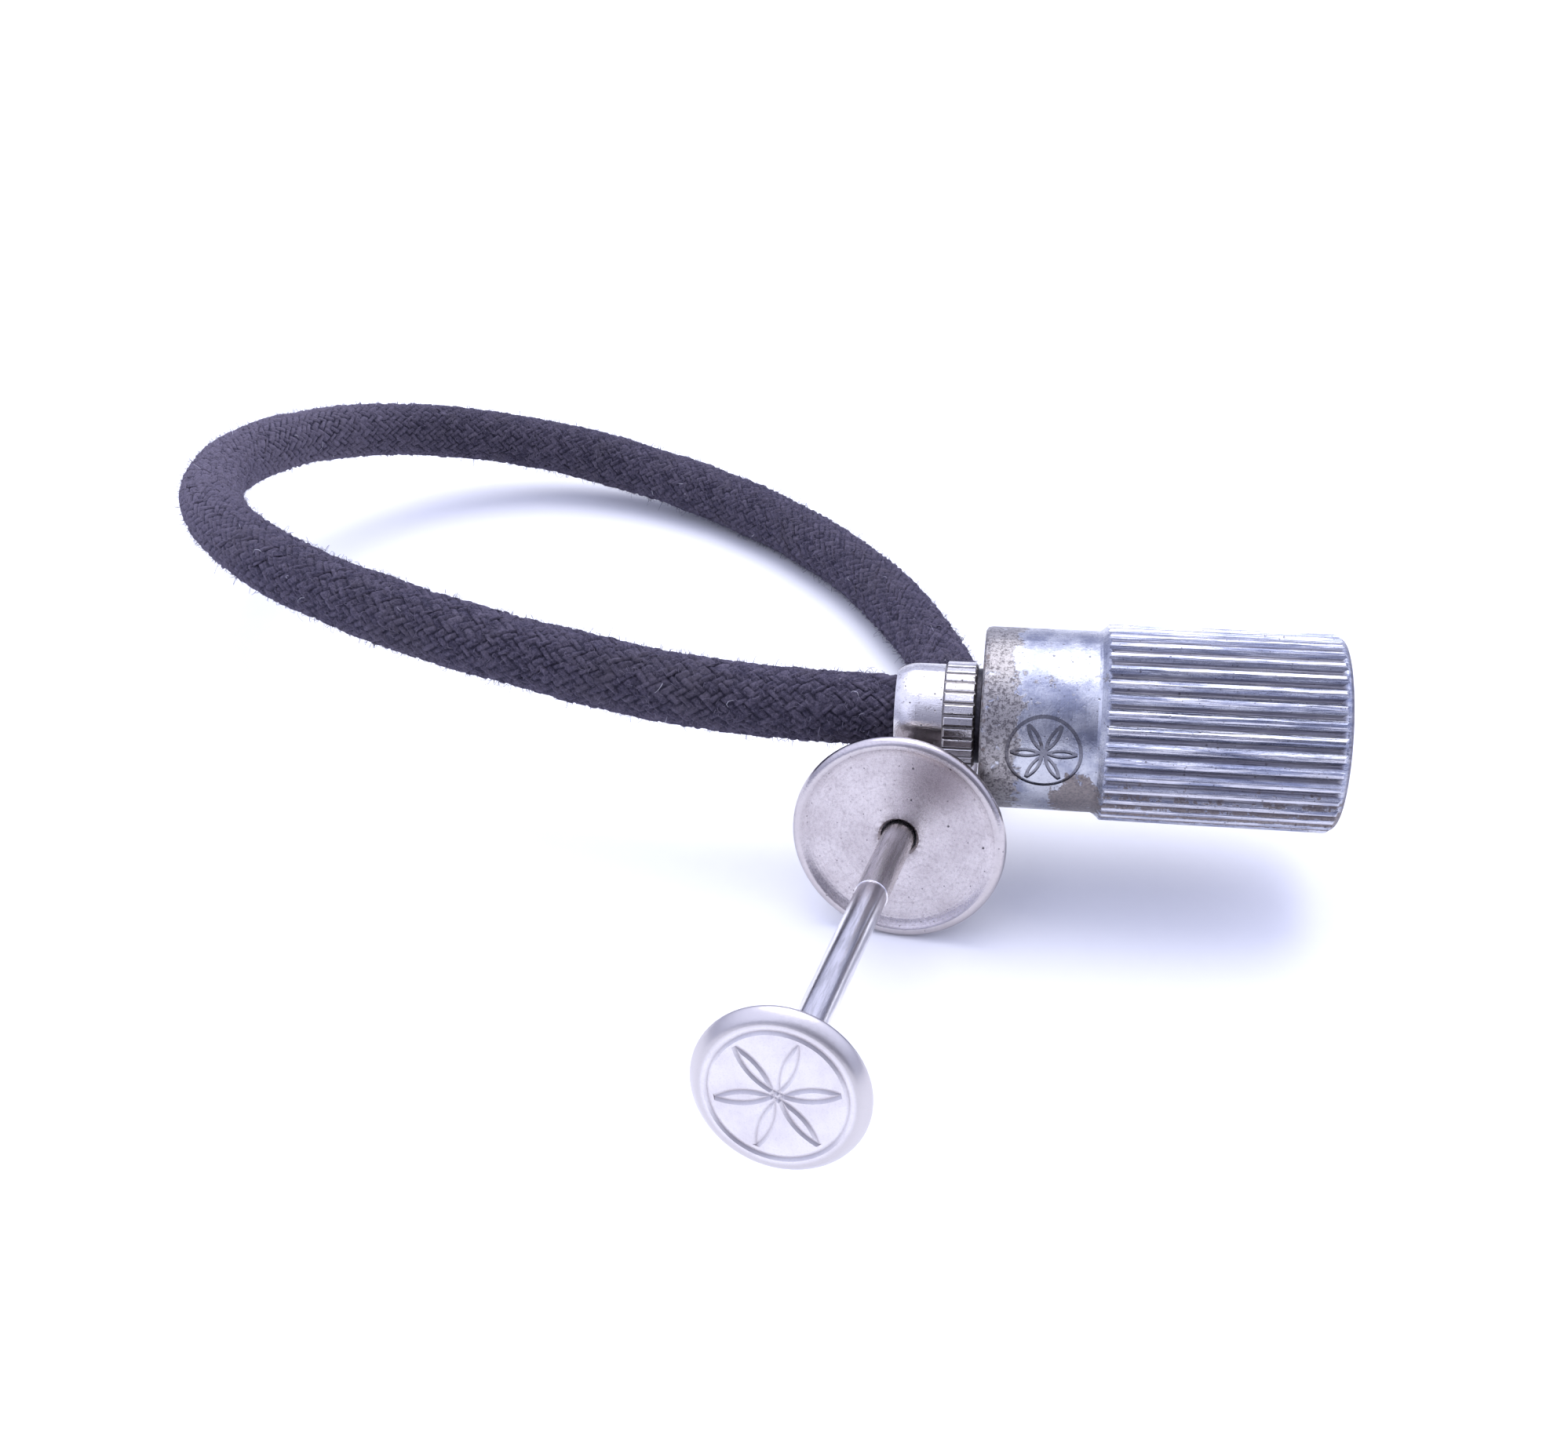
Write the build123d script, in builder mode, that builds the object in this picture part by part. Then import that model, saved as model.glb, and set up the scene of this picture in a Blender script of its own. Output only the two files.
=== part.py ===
"""Cloth-covered shutter cable release with a large knurled screw-on bell.

The row frame has +Z up and +X along the bell's axis, out of its mouth.  The
handle lies on the floor on the rim of its finger disc, and the springy cable
makes one loop and comes back over the handle.  All sizes are in millimetres.
"""
from build123d import *
import math
import os

os.makedirs("parts", exist_ok=True)

# ---------------------------------------------------------------- placement
HANDLE_X, HANDLE_Y = -9.56, 5.40        # centre of the finger disc's front face, in plan
HANDLE_HEADING = 6.8                    # degrees the handle turns from +Y towards +X
HANDLE_SLOPE = 11.4                     # degrees the handle's rear end points down
BELL_Y, BELL_Z = 12.65, 11.80           # the bell's axis, which runs along +X
MOUTH_X = 17.40                         # the bell's open end

# ---------------------------------------------------------------- cable
COVER_R = 2.40                          # woven cloth cover
CASING_R = 1.50                         # close-wound steel casing under the cloth
CASING_BORE_R = 0.60
WIRE_R = 0.35                           # core wire that does the pushing
NEST_GAP = 0.02                         # clearance between nested sleeves

# ---------------------------------------------------------------- handle
DISC_R = 6.87                           # finger disc, over its rolled rim
BEAD_R = 0.45                           # rolled rim of the disc
BARREL_R, BARREL_BORE_R = 2.85, 2.35
BARREL_FRONT, BARREL_REAR = -0.90, -15.00
ROD_R = 1.02                            # thick part of the plunger
ROD_HOLE_R = 1.16                       # hole in the disc's face
BUSH_BORE_R = 1.06                      # running fit on the rod
BUSH_R = 1.75
BUSH_REAR = -2.60
STEM_R = 0.97                           # thin part of the plunger
STROKE = 7.5                            # full travel of the plunger
BUTTON_R = 4.60
BUTTON_BACK = 27.00                     # distance from disc face to button back
BUTTON_THICK = 1.75
RING_R = 3.56                           # ring groove in the button's face

# ---------------------------------------------------------------- bell end
BELL_LENGTH = 22.10
NECK_LENGTH = 7.40
NECK_R, KNURL_R = 5.80, 6.25
KNURL_DEPTH = 0.34
KNURL_RIDGES = 38
THREAD_R, THREAD_LENGTH = 5.20, 5.00    # bore that screws onto the camera's collar
RELIEF_R, RELIEF_LENGTH = 5.45, 0.90
CAVITY_R = 4.90
FLOOR_THICK = 3.00                      # wall that turns on the shank
SHANK_R, SHANK_BORE_R = 2.00, 1.25
GUIDE_BORE_R = 0.85
PIN_R = 0.80
PIN_RECESS = 9.50                       # pin tip behind the mouth at rest

# ---------------------------------------------------------------- frames
heading, slope = math.radians(HANDLE_HEADING), math.radians(HANDLE_SLOPE)
forward = Vector(-math.sin(heading) * math.cos(slope),
                 -math.cos(heading) * math.cos(slope), math.sin(slope))
sideways = Vector(math.cos(heading), -math.sin(heading), 0)
# the rolled rim touches the floor: its circle hangs below the disc's centre
disc_height = ((DISC_R - BEAD_R) * math.cos(slope) + BEAD_R
               + BEAD_R * math.sin(slope))
handle_origin = Vector(HANDLE_X, HANDLE_Y, disc_height)
handle = Plane(origin=handle_origin, x_dir=sideways, z_dir=forward)
handle_side = Plane(origin=handle_origin, x_dir=sideways, z_dir=sideways.cross(forward))
handle_axis = Axis(handle_origin, forward)
bell_frame = Plane(origin=(0, BELL_Y, BELL_Z), x_dir=(0, 1, 0), z_dir=(1, 0, 0))
bell_side = Plane(origin=(0, BELL_Y, BELL_Z), x_dir=(0, 0, 1), z_dir=(0, 1, 0))
bell_axis = Axis((0, BELL_Y, BELL_Z), (1, 0, 0))

BELL_X = MOUTH_X - BELL_LENGTH          # left end of the bell's neck
FERRULE_X = BELL_X - 5.50                # where the cable enters the tip ferrule
RING_X = BELL_X - 2.46                  # knurled ring's left end
RING_END_X = BELL_X - 0.38              # the narrow gap beside the bell
SHANK_X = BELL_X - 3.40                      # shank's end inside the ferrule
FLANGE_X = BELL_X + FLOOR_THICK + 0.40  # flange inside the bell
WASHER_X = BELL_X + FLOOR_THICK + 0.04
GUIDE_END_X = MOUTH_X - PIN_RECESS - 0.50


def handle_point(s):
    """Point on the handle's axis, s in front of the disc's face."""
    return handle_origin + forward * s


def tip_point(x):
    """Point on the bell's axis."""
    return Vector(x, BELL_Y, BELL_Z)


def save(piece, name):
    """Label a finished piece and write its STEP file."""
    piece.part.label = name
    export_step(piece.part, f"parts/{name}.step")


# ================================================================ handle
# Finger disc: dished plate with a cove up to its rolled rim, and a hub in the barrel.
BEAD_AT = DISC_R - BEAD_R
with BuildPart() as finger_disc:
    with BuildSketch(handle_side):
        with BuildLine():
            Polyline((ROD_HOLE_R, -0.60), (ROD_HOLE_R + 0.16, -0.46), (BEAD_AT - 1.05, -0.30))
            Spline((BEAD_AT - 1.05, -0.30), (BEAD_AT - 0.66, -0.27), (BEAD_AT - 0.26, -0.085),
                   tangents=((1, 0.03), (1, 0.70)))
            Polyline((BEAD_AT - 0.26, -0.085), (BEAD_AT, -0.10), (BEAD_AT, -0.80),
                     (4.6, -0.90), (BARREL_BORE_R, -0.90), (BARREL_BORE_R, -2.30),
                     (BUSH_R, -2.30), (BUSH_R, -0.85), (ROD_HOLE_R, -0.85), (ROD_HOLE_R, -0.60))
        make_face()
        with Locations((BEAD_AT, -BEAD_R)):
            Circle(BEAD_R)
    revolve(axis=handle_axis)
save(finger_disc, "finger_disc")

with BuildPart() as guide_bush:
    with BuildSketch(handle.offset(BUSH_REAR)):
        Circle(BUSH_R)
        Circle(BUSH_BORE_R, mode=Mode.SUBTRACT)
    extrude(amount=-0.85 - BUSH_REAR)
save(guide_bush, "guide_bush")

# Barrel: plain tube behind the disc.
with BuildPart() as barrel:
    with BuildSketch(handle.offset(BARREL_REAR)):
        Circle(BARREL_R)
        Circle(BARREL_BORE_R, mode=Mode.SUBTRACT)
    extrude(amount=BARREL_FRONT - BARREL_REAR)
save(barrel, "barrel")

# Spring seat: washer that closes the barrel behind the return spring.
SEAT_THICK = 0.60
with BuildPart() as spring_seat:
    with BuildSketch(handle.offset(BARREL_REAR)):
        Circle(BARREL_BORE_R)
        Circle(CASING_BORE_R, mode=Mode.SUBTRACT)
    extrude(amount=SEAT_THICK)
save(spring_seat, "spring_seat")

# Handle ferrule: sleeve over the barrel's rear that grips the cable.
SLEEVE_R = 3.05
SLEEVE_FRONT, SLEEVE_REAR = -13.00, -18.00
COVER_START = -15.60
with BuildPart() as handle_ferrule:
    with BuildSketch(handle_side):
        with BuildLine():
            Polyline((BARREL_R, SLEEVE_FRONT), (SLEEVE_R, SLEEVE_FRONT),
                     (SLEEVE_R, SLEEVE_REAR + 0.8), (SLEEVE_R - 0.12, SLEEVE_REAR + 0.3),
                     (SLEEVE_R - 0.35, SLEEVE_REAR), (COVER_R, SLEEVE_REAR),
                     (COVER_R, COVER_START), (CASING_R + NEST_GAP, COVER_START),
                     (CASING_R + NEST_GAP, BARREL_REAR), (BARREL_R, BARREL_REAR),
                     close=True)
        make_face()
    revolve(axis=handle_axis)
save(handle_ferrule, "handle_ferrule")

# Return spring round the plunger's tail, from the stop collar to the seat.
SPRING_WIRE_R, SPRING_MEAN_R = 0.17, 1.75
COLLAR_FRONT, COLLAR_REAR = BUSH_REAR - 0.05, -3.85
SPRING_TURNS = 6.5
spring_low = BARREL_REAR + SEAT_THICK + SPRING_WIRE_R + 0.02
spring_high = COLLAR_REAR - SPRING_WIRE_R - 0.02
with BuildPart() as return_spring:
    with BuildLine() as spring_path:
        Helix(pitch=(spring_high - spring_low) / SPRING_TURNS, height=spring_high - spring_low,
              radius=SPRING_MEAN_R, center=handle_point(spring_low), direction=forward)
    spring_start = Plane(origin=spring_path.line @ 0, z_dir=spring_path.line % 0)
    with BuildSketch(spring_start):
        Circle(SPRING_WIRE_R)
    sweep(path=spring_path.line, is_frenet=True)
save(return_spring, "return_spring")

# ================================================================ plunger
# Plunger rod: thick part, bored in front for the stem and behind for the wire.
ROD_REAR, STEP = -5.00, STROKE + 0.10
SPIGOT_R, SPIGOT_LENGTH = 0.60, 3.00
CRIMP_R, CRIMP_LENGTH = 0.62, 2.60
with BuildPart() as plunger_rod:
    with BuildSketch(handle.offset(ROD_REAR)):
        Circle(ROD_R)
    extrude(amount=STEP - ROD_REAR)
    chamfer(plunger_rod.edges().filter_by(GeomType.CIRCLE).group_by(SortBy.LENGTH)[-1], 0.03)
    with BuildSketch(handle.offset(STEP)):
        Circle(SPIGOT_R)
    extrude(amount=-SPIGOT_LENGTH, mode=Mode.SUBTRACT)
    with BuildSketch(handle.offset(ROD_REAR)):
        Circle(CRIMP_R)
    extrude(amount=1.50, mode=Mode.SUBTRACT)
save(plunger_rod, "plunger_rod")

# Stop collar: the piston that the spring pushes against the guide bush.
with BuildPart() as stop_collar:
    with BuildSketch(handle.offset(COLLAR_REAR)):
        Circle(2.22)
        Circle(ROD_R, mode=Mode.SUBTRACT)
    extrude(amount=COLLAR_FRONT - COLLAR_REAR)
save(stop_collar, "stop_collar")

# Wire crimp: sleeve that joins the core wire to the rod.
with BuildPart() as wire_crimp:
    with BuildSketch(handle.offset(ROD_REAR + 1.50 - CRIMP_LENGTH)):
        Circle(CRIMP_R)
    extrude(amount=CRIMP_LENGTH)
    with BuildSketch(handle.offset(ROD_REAR + 1.50 - CRIMP_LENGTH)):
        Circle(WIRE_R + NEST_GAP)
    extrude(amount=2.00, mode=Mode.SUBTRACT)
save(wire_crimp, "wire_crimp")

# Button stem: thin part of the plunger, with a spigot at each end.
with BuildPart() as button_stem:
    with BuildSketch(handle.offset(STEP)):
        Circle(STEM_R)
    extrude(amount=BUTTON_BACK - STEP)
    with BuildSketch(handle.offset(STEP - SPIGOT_LENGTH + 0.20)):
        Circle(SPIGOT_R)
    extrude(amount=BUTTON_BACK + 0.90 - (STEP - SPIGOT_LENGTH + 0.20))
save(button_stem, "button_stem")

# Thumb button: flat cap, thin at its edge, with a ring groove round a six-petal rosette.
# Six arcs centred on the ring, with nearly its radius, enclose the petals.
button_face = BUTTON_BACK + BUTTON_THICK
PETALS = 6
ARC_SHARE, REACH_SHARE = 0.955, 0.91    # radius and outer limit of the arcs, of the ring's radius
LINE_HALF, LINE_DEPTH = 0.17, 0.085     # section of the engraved V


def arc_centres(ring_radius, first_angle=0):
    """Centres of the rosette's six arcs, in the plane of their ring."""
    turns = [math.radians(first_angle + 360 * arc / PETALS) for arc in range(PETALS)]
    return [(ring_radius * math.cos(turn), ring_radius * math.sin(turn)) for turn in turns]


def v_ring(frame, radius, limit=None):
    """Ring of V section below the button's face, for cutting; kept within limit of its axis."""
    section = Plane(origin=frame.origin, x_dir=frame.x_dir, z_dir=frame.x_dir.cross(frame.z_dir))
    with BuildPart() as ring:
        with BuildSketch(section):
            with BuildLine():
                Polyline((radius - LINE_HALF, 0), (radius, -LINE_DEPTH), (radius + LINE_HALF, 0),
                         (radius + LINE_HALF, 0.1), (radius - LINE_HALF, 0.1), close=True)
            make_face()
        revolve(axis=Axis(frame.origin, frame.z_dir))
        if limit:
            with BuildSketch(handle.offset(button_face - 1)):
                Circle(limit)
            extrude(amount=2, mode=Mode.INTERSECT)
    return ring.part


face_frame = handle.offset(button_face)
with BuildPart() as thumb_button:
    with BuildSketch(handle_side):
        with BuildLine():
            Line((0, button_face), (BUTTON_R - 0.66, button_face))
            Spline((BUTTON_R - 0.66, button_face), (BUTTON_R - 0.24, button_face - 0.25),
                   (BUTTON_R, button_face - 0.70), (BUTTON_R - 0.20, button_face - 0.98),
                   (BUTTON_R - 1.10, BUTTON_BACK + 0.45), tangents=((1, -0.06), (-1, -0.28)))
            Polyline((BUTTON_R - 1.10, BUTTON_BACK + 0.45), (1.8, BUTTON_BACK),
                     (0, BUTTON_BACK), (0, button_face))
        make_face()
    revolve(axis=handle_axis)
    add(v_ring(face_frame, RING_R), mode=Mode.SUBTRACT)
    for x, y in arc_centres(RING_R, 12):
        arc_frame = Plane(origin=face_frame.from_local_coords((x, y, 0)),
                          x_dir=face_frame.x_dir, z_dir=face_frame.z_dir)
        add(v_ring(arc_frame, ARC_SHARE * RING_R, REACH_SHARE * RING_R), mode=Mode.SUBTRACT)
    with BuildSketch(handle.offset(BUTTON_BACK)):
        Circle(SPIGOT_R)
    extrude(amount=0.92, mode=Mode.SUBTRACT)
save(thumb_button, "thumb_button")

# ================================================================ cable
# The route's points are the corners of straight runs, joined by tangent arcs.
EXIT_RUN = -21.00                       # first corner, still on the handle's axis
loop = [
    (-7.7, 31.7, 2.45),
    (-10.6, 38.9, 2.4),
    (-15.9, 47.9, 2.4),
    (-24.3, 56.9, 2.4),
    (-35.3, 63.9, 2.9),
    (-48.1, 67.1, 4.6),
    (-59.8, 63.8, 7.5),
    (-67.5, 55.1, 10.4),
    (-69.8, 43.5, 12.7),
    (-66, 32.5, 14.1),
    (-57.3, 23.8, 14.6),
    (-45.9, 17.7, 14.3),
    (-33.5, 14.2, 13.3),
    (-20.5, 12.65, 11.8),
]
COVER_END_X = SHANK_X
route = [handle_point(COVER_START), handle_point(EXIT_RUN),
         *[Vector(*point) for point in loop], tip_point(COVER_END_X)]


def corner_radii(points):
    """Largest smooth arc at each corner: 0.45 of the shorter run."""
    radii = []
    for before, corner, after in zip(points, points[1:], points[2:]):
        turn = math.radians((corner - before).get_angle(after - corner))
        shorter = min((corner - before).length, (after - corner).length)
        radii.append(0.45 * shorter / math.tan(turn / 2))
    return radii


radii = corner_radii(route)
print("cable arc radii:", [round(r, 1) for r in radii])


def cable_sleeve(start, end, outer, inner):
    """Round sleeve along the cable's route, between two points of the end axes."""
    points = [start, *route[1:-1], end]
    with BuildPart() as sleeve:
        with BuildLine() as path:
            FilletPolyline(*points, radius=radii)
        with BuildSketch(Plane(origin=points[0], z_dir=points[1] - points[0])):
            Circle(outer)
            if inner:
                Circle(inner, mode=Mode.SUBTRACT)
        sweep()
    section = math.pi * (outer ** 2 - inner ** 2)
    print(f"sleeve {outer}: length {path.wires()[0].length:.2f}, volume {sleeve.part.volume:.1f},"
          f" section x length {section * path.wires()[0].length:.1f}")
    return sleeve


cloth_cover = cable_sleeve(handle_point(COVER_START), tip_point(COVER_END_X),
                           COVER_R, CASING_R + NEST_GAP)
save(cloth_cover, "cloth_cover")
wire_casing = cable_sleeve(handle_point(BARREL_REAR), tip_point(SHANK_X),
                           CASING_R, CASING_BORE_R)
save(wire_casing, "wire_casing")
WIRE_END_X = BELL_X + 1.60
core_wire = cable_sleeve(handle_point(ROD_REAR - 0.40), tip_point(WIRE_END_X), WIRE_R, 0)
save(core_wire, "core_wire")

# ================================================================ bell end
# Tip ferrule: cup with a rounded shoulder that grips the cable.
FERRULE_R = 3.22
with BuildPart() as tip_ferrule:
    with BuildSketch(bell_side):
        with BuildLine():
            Line((COVER_R, FERRULE_X), (FERRULE_R - 0.42, FERRULE_X))
            RadiusArc((FERRULE_R - 0.42, FERRULE_X), (FERRULE_R, FERRULE_X + 1.35), -2.40)
            Polyline((FERRULE_R, FERRULE_X + 1.35), (FERRULE_R, RING_X), (SHANK_R, RING_X),
                     (SHANK_R, SHANK_X), (COVER_R, SHANK_X), (COVER_R, FERRULE_X))
        make_face()
    revolve(axis=bell_axis)
save(tip_ferrule, "tip_ferrule")


def ridged_outline(ridges, outer, depth, crest):
    """Closed outline of a straight knurl: eased crests, crest a ridge's share each side."""
    ridge_shape = ((-0.42, 0.90), (-crest - 0.08, 0.16), (-crest, 0), (crest, 0),
                   (crest + 0.08, 0.16), (0.42, 0.90), (0.5, 1))
    points = []
    for ridge in range(ridges):
        for share, drop in ridge_shape:
            angle = (ridge + share) * 2 * math.pi / ridges
            r = outer - drop * depth
            points.append((r * math.cos(angle), r * math.sin(angle)))
    return points


# Grip ring: knurled ring on the shank, beside the bell.
RING_R_OUT, RING_RIDGES, RING_DEPTH = 3.42, 28, 0.13
with BuildPart() as grip_ring:
    with BuildSketch(bell_frame.offset(RING_X)):
        with BuildLine():
            Polyline(*ridged_outline(RING_RIDGES, RING_R_OUT, RING_DEPTH, 0.26), close=True)
        make_face()
        Circle(SHANK_R, mode=Mode.SUBTRACT)
    extrude(amount=RING_END_X - RING_X)
    with BuildSketch(bell_side):
        with BuildLine():
            Polyline((0, RING_X - 0.01), (RING_R_OUT - 0.22, RING_X - 0.01),
                     (RING_R_OUT + 0.1, RING_X + 0.25), (RING_R_OUT + 0.1, RING_END_X - 0.25),
                     (RING_R_OUT - 0.22, RING_END_X + 0.01), (0, RING_END_X + 0.01), close=True)
        make_face()
    revolve(axis=bell_axis, mode=Mode.INTERSECT)
save(grip_ring, "grip_ring")

# Rear washer: on the shank in the gap between the grip ring and the bell.
WASHER_PLAY = 0.10
with BuildPart() as rear_washer:
    with BuildSketch(bell_frame.offset(RING_END_X)):
        Circle(3.05)
        Circle(SHANK_R, mode=Mode.SUBTRACT)
    extrude(amount=BELL_X - WASHER_PLAY - RING_END_X)
save(rear_washer, "rear_washer")

# Swivel shank: hollow spindle that the bell turns on, with a flange inside it.
with BuildPart() as swivel_shank:
    with BuildSketch(bell_frame.offset(SHANK_X)):
        Circle(SHANK_R)
    extrude(amount=FLANGE_X + 1.0 - SHANK_X)
    with BuildSketch(bell_frame.offset(FLANGE_X)):
        Circle(3.60)
    extrude(amount=1.0)
    with BuildSketch(bell_frame.offset(SHANK_X)):
        Circle(SHANK_BORE_R)
    extrude(amount=FLANGE_X + 1.0 - SHANK_X, mode=Mode.SUBTRACT)
save(swivel_shank, "swivel_shank")

with BuildPart() as thrust_washer:
    with BuildSketch(bell_frame.offset(WASHER_X)):
        Circle(3.80)
        Circle(SHANK_R + 0.04, mode=Mode.SUBTRACT)
    extrude(amount=FLANGE_X - WASHER_X)
save(thrust_washer, "thrust_washer")

# Guide tube: slim tube pressed into the shank, where the pin slides.
GUIDE_X = BELL_X - 0.80
with BuildPart() as guide_tube:
    with BuildSketch(bell_frame.offset(GUIDE_X)):
        Circle(SHANK_BORE_R)
        Circle(GUIDE_BORE_R, mode=Mode.SUBTRACT)
    extrude(amount=GUIDE_END_X - GUIDE_X)
save(guide_tube, "guide_tube")

# Engraved mark on the neck: a plain six-petal rosette in a ring.
MARK_X, MARK_ANGLE = -0.75, math.radians(12)    # its centre: along the axis, above level
MARK_R = 2.25
MARK_LINE_HALF, MARK_DEPTH = 0.11, 0.11


def neck_lines():
    """The mark's ring and arcs, as thin bands just under the neck's surface."""
    outward = Vector(0, -math.cos(MARK_ANGLE), math.sin(MARK_ANGLE))
    mark = Plane(origin=tip_point(MARK_X), x_dir=(1, 0, 0), z_dir=outward).offset(NECK_R - 1.0)
    bands = []
    for x, y in [(0, 0), *arc_centres(MARK_R)]:
        is_ring = (x, y) == (0, 0)
        radius = MARK_R if is_ring else ARC_SHARE * MARK_R
        with BuildPart() as band:
            with BuildSketch(mark):
                with Locations((x, y)):
                    Circle(radius + MARK_LINE_HALF)
                    Circle(radius - MARK_LINE_HALF, mode=Mode.SUBTRACT)
                if not is_ring:
                    Circle(REACH_SHARE * MARK_R, mode=Mode.INTERSECT)
            extrude(amount=1.5)
            with BuildSketch(bell_frame.offset(MARK_X - 3)):
                Circle(NECK_R + 0.3)
                Circle(NECK_R - MARK_DEPTH, mode=Mode.SUBTRACT)
            extrude(amount=6, mode=Mode.INTERSECT)
        bands.append(band.part)
    return bands


# Bell: necked sleeve with a straight knurl between a smooth flare and a rounded lip.
# Its threaded mouth is shown as its bore.
SHOULDER_X = BELL_X + NECK_LENGTH
FLARE_R, LIP_R = 6.14, 6.08
GROOVE_R = KNURL_R - KNURL_DEPTH - 0.03
with BuildPart() as bell:
    with BuildSketch(bell_frame.offset(SHOULDER_X + 0.20)):
        with BuildLine():
            Polyline(*ridged_outline(KNURL_RIDGES, KNURL_R, KNURL_DEPTH, 0.09), close=True)
        make_face()
    extrude(amount=MOUTH_X - 0.32 - (SHOULDER_X + 0.20))
    with BuildSketch(bell_side):
        with BuildLine():
            Polyline((0, SHOULDER_X + 0.19), (FLARE_R, SHOULDER_X + 0.19),
                     (KNURL_R + 0.05, SHOULDER_X + 0.42), (KNURL_R + 0.05, MOUTH_X - 0.58),
                     (LIP_R, MOUTH_X - 0.31), (0, MOUTH_X - 0.31), close=True)
        make_face()
    revolve(axis=bell_axis, mode=Mode.INTERSECT)
    with BuildSketch(bell_side):
        with BuildLine():
            Polyline((0, BELL_X), (NECK_R - 0.28, BELL_X), (NECK_R - 0.06, BELL_X + 0.14),
                     (NECK_R, BELL_X + 0.40), (NECK_R, SHOULDER_X - 0.30),
                     (NECK_R + 0.07, SHOULDER_X - 0.12), (FLARE_R, SHOULDER_X + 0.22),
                     (GROOVE_R, SHOULDER_X + 0.62), (GROOVE_R, MOUTH_X - 0.80),
                     (LIP_R, MOUTH_X - 0.40))
            RadiusArc((LIP_R, MOUTH_X - 0.40), (LIP_R - 0.36, MOUTH_X), -0.42)
            Polyline((LIP_R - 0.36, MOUTH_X), (0, MOUTH_X), (0, BELL_X))
        make_face()
    revolve(axis=bell_axis)
    with BuildSketch(bell_side):
        with BuildLine():
            Polyline((0, BELL_X + FLOOR_THICK), (CAVITY_R, BELL_X + FLOOR_THICK),
                     (CAVITY_R, MOUTH_X - THREAD_LENGTH - RELIEF_LENGTH),
                     (RELIEF_R, MOUTH_X - THREAD_LENGTH - RELIEF_LENGTH),
                     (RELIEF_R, MOUTH_X - THREAD_LENGTH), (THREAD_R, MOUTH_X - THREAD_LENGTH),
                     (THREAD_R, MOUTH_X - 0.25), (THREAD_R + 0.25, MOUTH_X),
                     (THREAD_R + 0.25, MOUTH_X + 0.1), (0, MOUTH_X + 0.1), close=True)
        make_face()
    revolve(axis=bell_axis, mode=Mode.SUBTRACT)
    with BuildSketch(bell_frame.offset(BELL_X)):
        Circle(SHANK_R + 0.05)
    extrude(amount=FLOOR_THICK, mode=Mode.SUBTRACT)
    # the same rosette in a ring, engraved in the neck
    for engraved in neck_lines():
        add(engraved, mode=Mode.SUBTRACT)
save(bell, "bell")

# ================================================================ release pin
PIN_BACK_X = BELL_X + 3.00
CRIMP_BACK_X = PIN_BACK_X - 2.90
pin_tip_x = MOUTH_X - PIN_RECESS
with BuildPart() as release_pin:
    with BuildSketch(bell_frame.offset(PIN_BACK_X)):
        Circle(PIN_R)
    extrude(amount=pin_tip_x - PIN_BACK_X)
    chamfer(release_pin.faces().sort_by(Axis.X)[-1].edges(), 0.20)
save(release_pin, "release_pin")

# Pin crimp: sleeve that joins the core wire to the pin's back end.
with BuildPart() as pin_crimp:
    with BuildSketch(bell_frame.offset(CRIMP_BACK_X)):
        Circle(PIN_R)
        Circle(WIRE_R + NEST_GAP, mode=Mode.SUBTRACT)
    extrude(amount=PIN_BACK_X - CRIMP_BACK_X)
save(pin_crimp, "pin_crimp")

rigid = [finger_disc, thumb_button, bell, handle_ferrule]
box = Compound([piece.part for piece in rigid]).bounding_box()
print("box of the rigid pieces:", box.min, box.max, "centre", box.center())
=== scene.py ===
"""Looks for the cloth-covered shutter cable release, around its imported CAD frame.

All lengths are in metres in the row frame: +Z up, +X along the bell's axis.
"""
import math

import bmesh
import bpy
import numpy as np
from mathutils import Matrix, Vector


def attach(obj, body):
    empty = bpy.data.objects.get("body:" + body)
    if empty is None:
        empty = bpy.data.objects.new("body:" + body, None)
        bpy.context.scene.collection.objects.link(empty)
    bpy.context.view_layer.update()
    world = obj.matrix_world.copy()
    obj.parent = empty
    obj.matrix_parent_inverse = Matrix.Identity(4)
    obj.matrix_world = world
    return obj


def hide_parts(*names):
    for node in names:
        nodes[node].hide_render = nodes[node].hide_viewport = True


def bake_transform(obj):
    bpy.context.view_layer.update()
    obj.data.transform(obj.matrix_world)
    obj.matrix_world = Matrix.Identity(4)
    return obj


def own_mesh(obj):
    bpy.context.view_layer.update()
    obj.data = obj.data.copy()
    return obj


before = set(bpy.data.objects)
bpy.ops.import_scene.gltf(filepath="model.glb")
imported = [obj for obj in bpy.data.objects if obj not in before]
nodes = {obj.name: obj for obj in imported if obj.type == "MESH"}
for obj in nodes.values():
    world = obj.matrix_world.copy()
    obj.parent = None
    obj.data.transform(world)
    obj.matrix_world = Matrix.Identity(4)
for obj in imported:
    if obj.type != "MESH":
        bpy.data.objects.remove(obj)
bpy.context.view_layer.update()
scene = bpy.context.scene
MM = 0.001

# ------------------------------------------------------------------ camera
CAMERA_AT = Vector((-2.31, -80.76, 73.28)) * MM
CAMERA_LOOK = Vector((-0.13501, 0.82140, -0.55414)).normalized()
CAMERA_UP = Vector((-0.05301, 0.55248, 0.83184)).normalized()
LENS, SENSOR = 39.6, 36.0

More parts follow.
